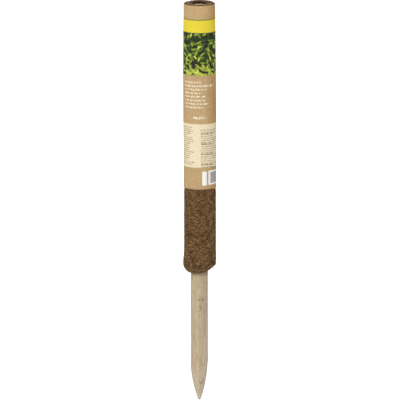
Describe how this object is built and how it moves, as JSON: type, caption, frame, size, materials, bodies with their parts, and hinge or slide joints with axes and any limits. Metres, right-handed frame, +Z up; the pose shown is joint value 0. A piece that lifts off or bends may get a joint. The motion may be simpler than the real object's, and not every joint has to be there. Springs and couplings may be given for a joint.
{
  "type": "moss pole",
  "caption": "Pointed round wooden stake with a coir fibre roll stapled and bound round its upper part, under a kraft paper sleeve that slides off; it holds up climbing plants.",
  "frame": {"origin": "on the stake's axis, at the tip of its point", "axes": "+Z up the stake towards the roll; -Y is the printed front of the sleeve; the seams of the roll and the sleeve are at the back"},
  "size_m": [0.0494, 0.0495, 0.6],
  "materials": {
    "stake_wood": "matt, sanded, unvarnished",
    "coir": "matt loose fibre",
    "thread": "fine satin nylon line",
    "staple_wire": "galvanised",
    "sleeve_paper": "matt printed kraft"
  },
  "bodies": {
    "pole": {"wooden_stake": "stake_wood", "coir_mat": "coir", "binding_thread": "thread", "staple_1": "staple_wire", "staple_2": "staple_wire", "staple_3": "staple_wire", "staple_4": "staple_wire"},
    "sleeve": {"paper_sleeve": "sleeve_paper"}
  },
  "joints": [
    {"name": "sleeve_slide", "type": "slide", "parent": "pole", "child": "sleeve", "axis": [0, 0, 1], "range_m": [0, 0.29]}
  ]
}
